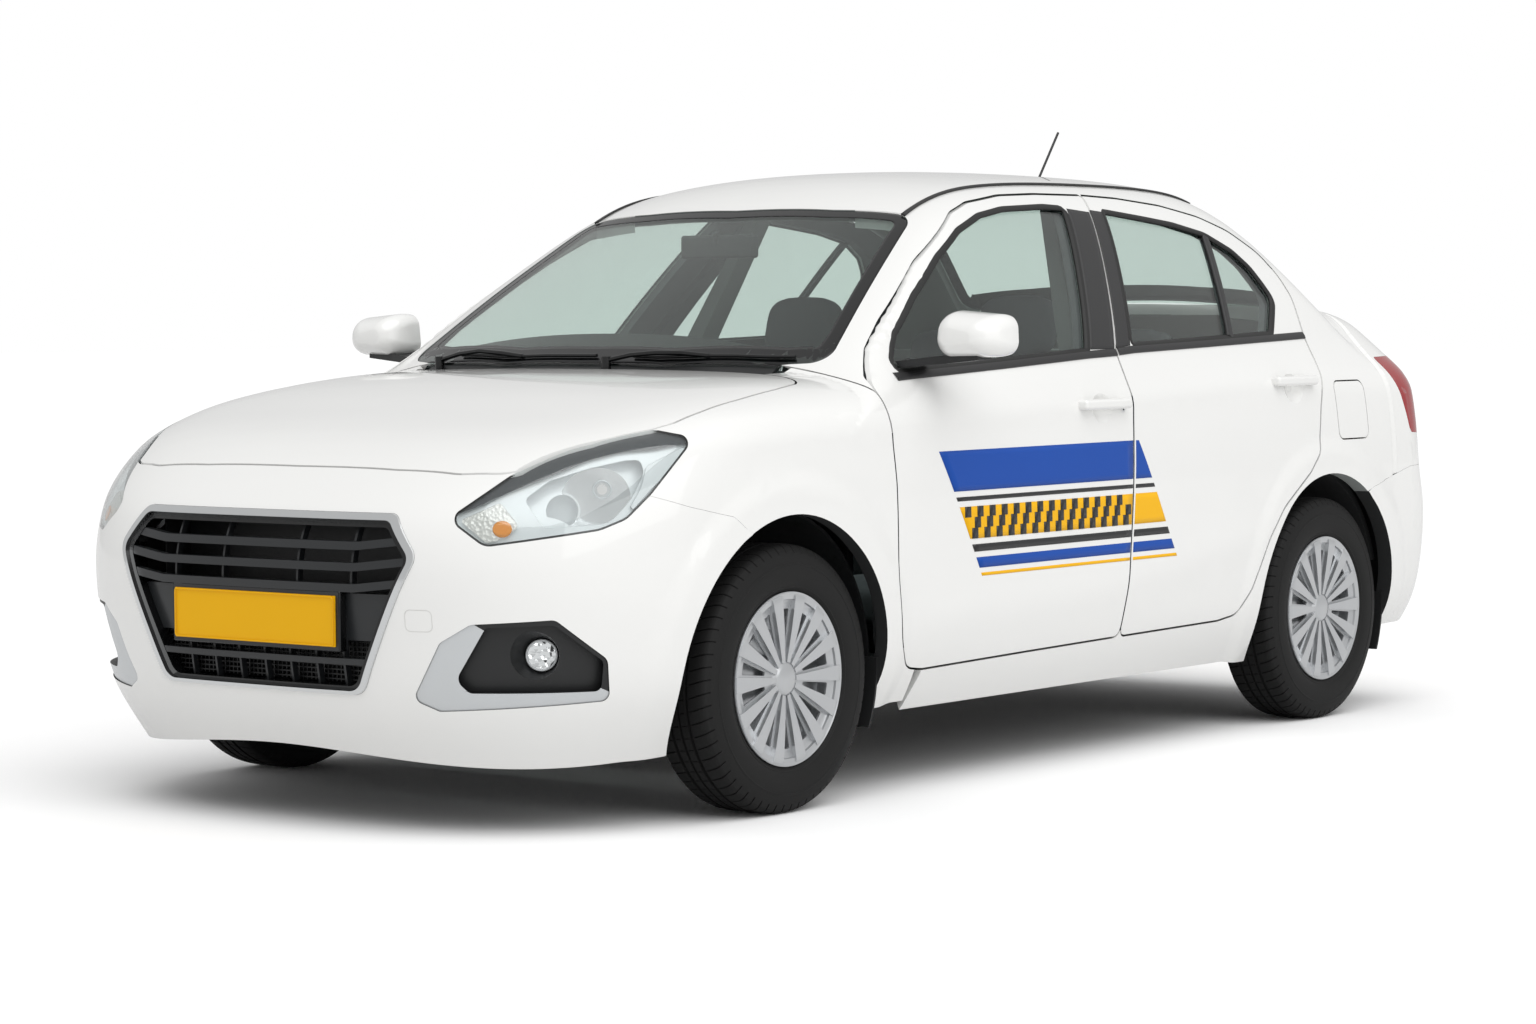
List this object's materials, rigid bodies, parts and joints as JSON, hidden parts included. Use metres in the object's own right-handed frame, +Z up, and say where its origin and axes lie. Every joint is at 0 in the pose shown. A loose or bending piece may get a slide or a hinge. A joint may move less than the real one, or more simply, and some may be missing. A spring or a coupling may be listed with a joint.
{
  "type": "taxi cab",
  "caption": "Small four-door saloon taxi with a six-sided bright grille frame, swept-back lamps, opening doors, lids and steering.",
  "frame": {"origin": "on the ground, on the centre line, midway along the overall length", "axes": "+X to the nose, +Y to the car's left, +Z up"},
  "size_m": [3.9861, 2.101, 1.6534],
  "materials": {
    "body_paint": "gloss",
    "under_metal": "matt",
    "black_plastic": "satin",
    "bright_trim": "satin",
    "lamp_plastic": "gloss",
    "lamp_cover": "clear",
    "amber_lens": "gloss",
    "red_lens": "gloss",
    "window_glass": "tinted",
    "plate_yellow": "gloss",
    "tyre_rubber": "matt",
    "mud_rubber": "matt",
    "wheel_silver": "satin",
    "cast_metal": "matt",
    "engine_metal": "cast",
    "exhaust_steel": "dull",
    "tank_plastic": "matt",
    "seat_fabric": "woven",
    "dash_plastic": "grained",
    "wheel_rim_plastic": "grained"
  },
  "bodies": {
    "body": {"aerial": "black_plastic", "arch_liners": "black_plastic", "body_floor": "under_metal", "body_sides": "body_paint", "cowl_panel": "black_plastic", "dashboard": "dash_plastic", "engine": "engine_metal", "exhaust": "exhaust_steel", "fog_lamp_pockets": "black_plastic", "fog_lamps": "lamp_cover", "fog_trims": "bright_trim", "front_bumper": "body_paint", "front_number_plate": "plate_yellow", "front_seats": "seat_fabric", "front_suspension": "cast_metal", "front_wings": "body_paint", "fuel_tank": "tank_plastic", "grille": "black_plastic", "grille_surround": "bright_trim", "headlamp_brows": "black_plastic", "headlamp_housings": "lamp_plastic", "headlamp_lenses": "lamp_cover", "indicator_lamps": "amber_lens", "interior_mirror": "black_plastic", "mud_flaps": "mud_rubber", "rear_axle": "cast_metal", "rear_bumper": "body_paint", "rear_corners": "body_paint", "rear_screen": "window_glass", "rear_seat": "seat_fabric", "roof_panel": "body_paint", "tail_lamps": "red_lens", "windscreen": "window_glass", "wipers": "black_plastic"},
    "bonnet_body": {"bonnet": "body_paint"},
    "boot_lid_body": {"boot_lid": "body_paint", "rear_number_plate": "plate_yellow"},
    "fuel_flap_body": {"fuel_flap": "body_paint"},
    "steering_wheel_body": {"steering_wheel": "wheel_rim_plastic"},
    "front_door_left": {"door_front_left": "body_paint", "window_front_left": "window_glass", "door_mirror_left": "body_paint"},
    "rear_door_left": {"door_rear_left": "body_paint", "window_rear_left": "window_glass"},
    "hub_carrier_left": {"knuckle_left": "cast_metal"},
    "front_wheel_left": {"tyre_front_left": "tyre_rubber", "wheel_front_left": "wheel_silver"},
    "rear_wheel_left": {"tyre_rear_left": "tyre_rubber", "wheel_rear_left": "wheel_silver"},
    "front_door_right": {"door_front_right": "body_paint", "window_front_right": "window_glass", "door_mirror_right": "body_paint"},
    "rear_door_right": {"door_rear_right": "body_paint", "window_rear_right": "window_glass"},
    "hub_carrier_right": {"knuckle_right": "cast_metal"},
    "front_wheel_right": {"tyre_front_right": "tyre_rubber", "wheel_front_right": "wheel_silver"},
    "rear_wheel_right": {"tyre_rear_right": "tyre_rubber", "wheel_rear_right": "wheel_silver"}
  },
  "joints": [
    {"name": "steer_left", "type": "hinge", "parent": "body", "child": "hub_carrier_left", "pos_m": [1.1325, 0.742, 0.308], "axis": [0, 0, 1], "range_deg": [-34, 34]},
    {"name": "front_wheel_left_spin", "type": "hinge", "parent": "hub_carrier_left", "child": "front_wheel_left", "pos_m": [1.1325, 0.765, 0.308], "axis": [0, 1, 0], "continuous": true},
    {"name": "rear_wheel_left_spin", "type": "hinge", "parent": "body", "child": "rear_wheel_left", "pos_m": [-1.3175, 0.765, 0.308], "axis": [0, 1, 0], "continuous": true},
    {"name": "front_door_left_hinge", "type": "hinge", "parent": "body", "child": "front_door_left", "pos_m": [0.765, 0.874, 0.6], "axis": [0, 0, -1], "range_deg": [0, 65]},
    {"name": "rear_door_left_hinge", "type": "hinge", "parent": "body", "child": "rear_door_left", "pos_m": [-0.255, 0.874, 0.6], "axis": [0, 0, -1], "range_deg": [0, 65]},
    {"name": "steer_right", "type": "hinge", "parent": "body", "child": "hub_carrier_right", "pos_m": [1.1325, -0.742, 0.308], "axis": [0, 0, 1], "range_deg": [-34, 34]},
    {"name": "front_wheel_right_spin", "type": "hinge", "parent": "hub_carrier_right", "child": "front_wheel_right", "pos_m": [1.1325, -0.765, 0.308], "axis": [0, 1, 0], "continuous": true},
    {"name": "rear_wheel_right_spin", "type": "hinge", "parent": "body", "child": "rear_wheel_right", "pos_m": [-1.3175, -0.765, 0.308], "axis": [0, 1, 0], "continuous": true},
    {"name": "front_door_right_hinge", "type": "hinge", "parent": "body", "child": "front_door_right", "pos_m": [0.765, -0.874, 0.6], "axis": [0, 0, 1], "range_deg": [0, 65]},
    {"name": "rear_door_right_hinge", "type": "hinge", "parent": "body", "child": "rear_door_right", "pos_m": [-0.255, -0.874, 0.6], "axis": [0, 0, 1], "range_deg": [0, 65]},
    {"name": "bonnet_hinge", "type": "hinge", "parent": "body", "child": "bonnet_body", "pos_m": [0.858, 0, 0.996], "axis": [0, -1, 0], "range_deg": [0, 52]},
    {"name": "boot_lid_hinge", "type": "hinge", "parent": "body", "child": "boot_lid_body", "pos_m": [-1.652, 0, 1.142], "axis": [0, 1, 0], "range_deg": [0, 76]},
    {"name": "fuel_flap_hinge", "type": "hinge", "parent": "body", "child": "fuel_flap_body", "pos_m": [-1.373, 0.868, 0.857], "axis": [0, 0, -1], "range_deg": [0, 85]},
    {"name": "steering_wheel_turn", "type": "hinge", "parent": "body", "child": "steering_wheel_body", "pos_m": [0.3, -0.36, 0.88], "axis": [-0.9135, 0, 0.4067], "range_deg": [-520, 520]}
  ],
  "couplings": [
    {"joint": "steer_right", "follows": "steer_left", "ratio": 1},
    {"joint": "steering_wheel_turn", "follows": "steer_left", "ratio": 15}
  ]
}
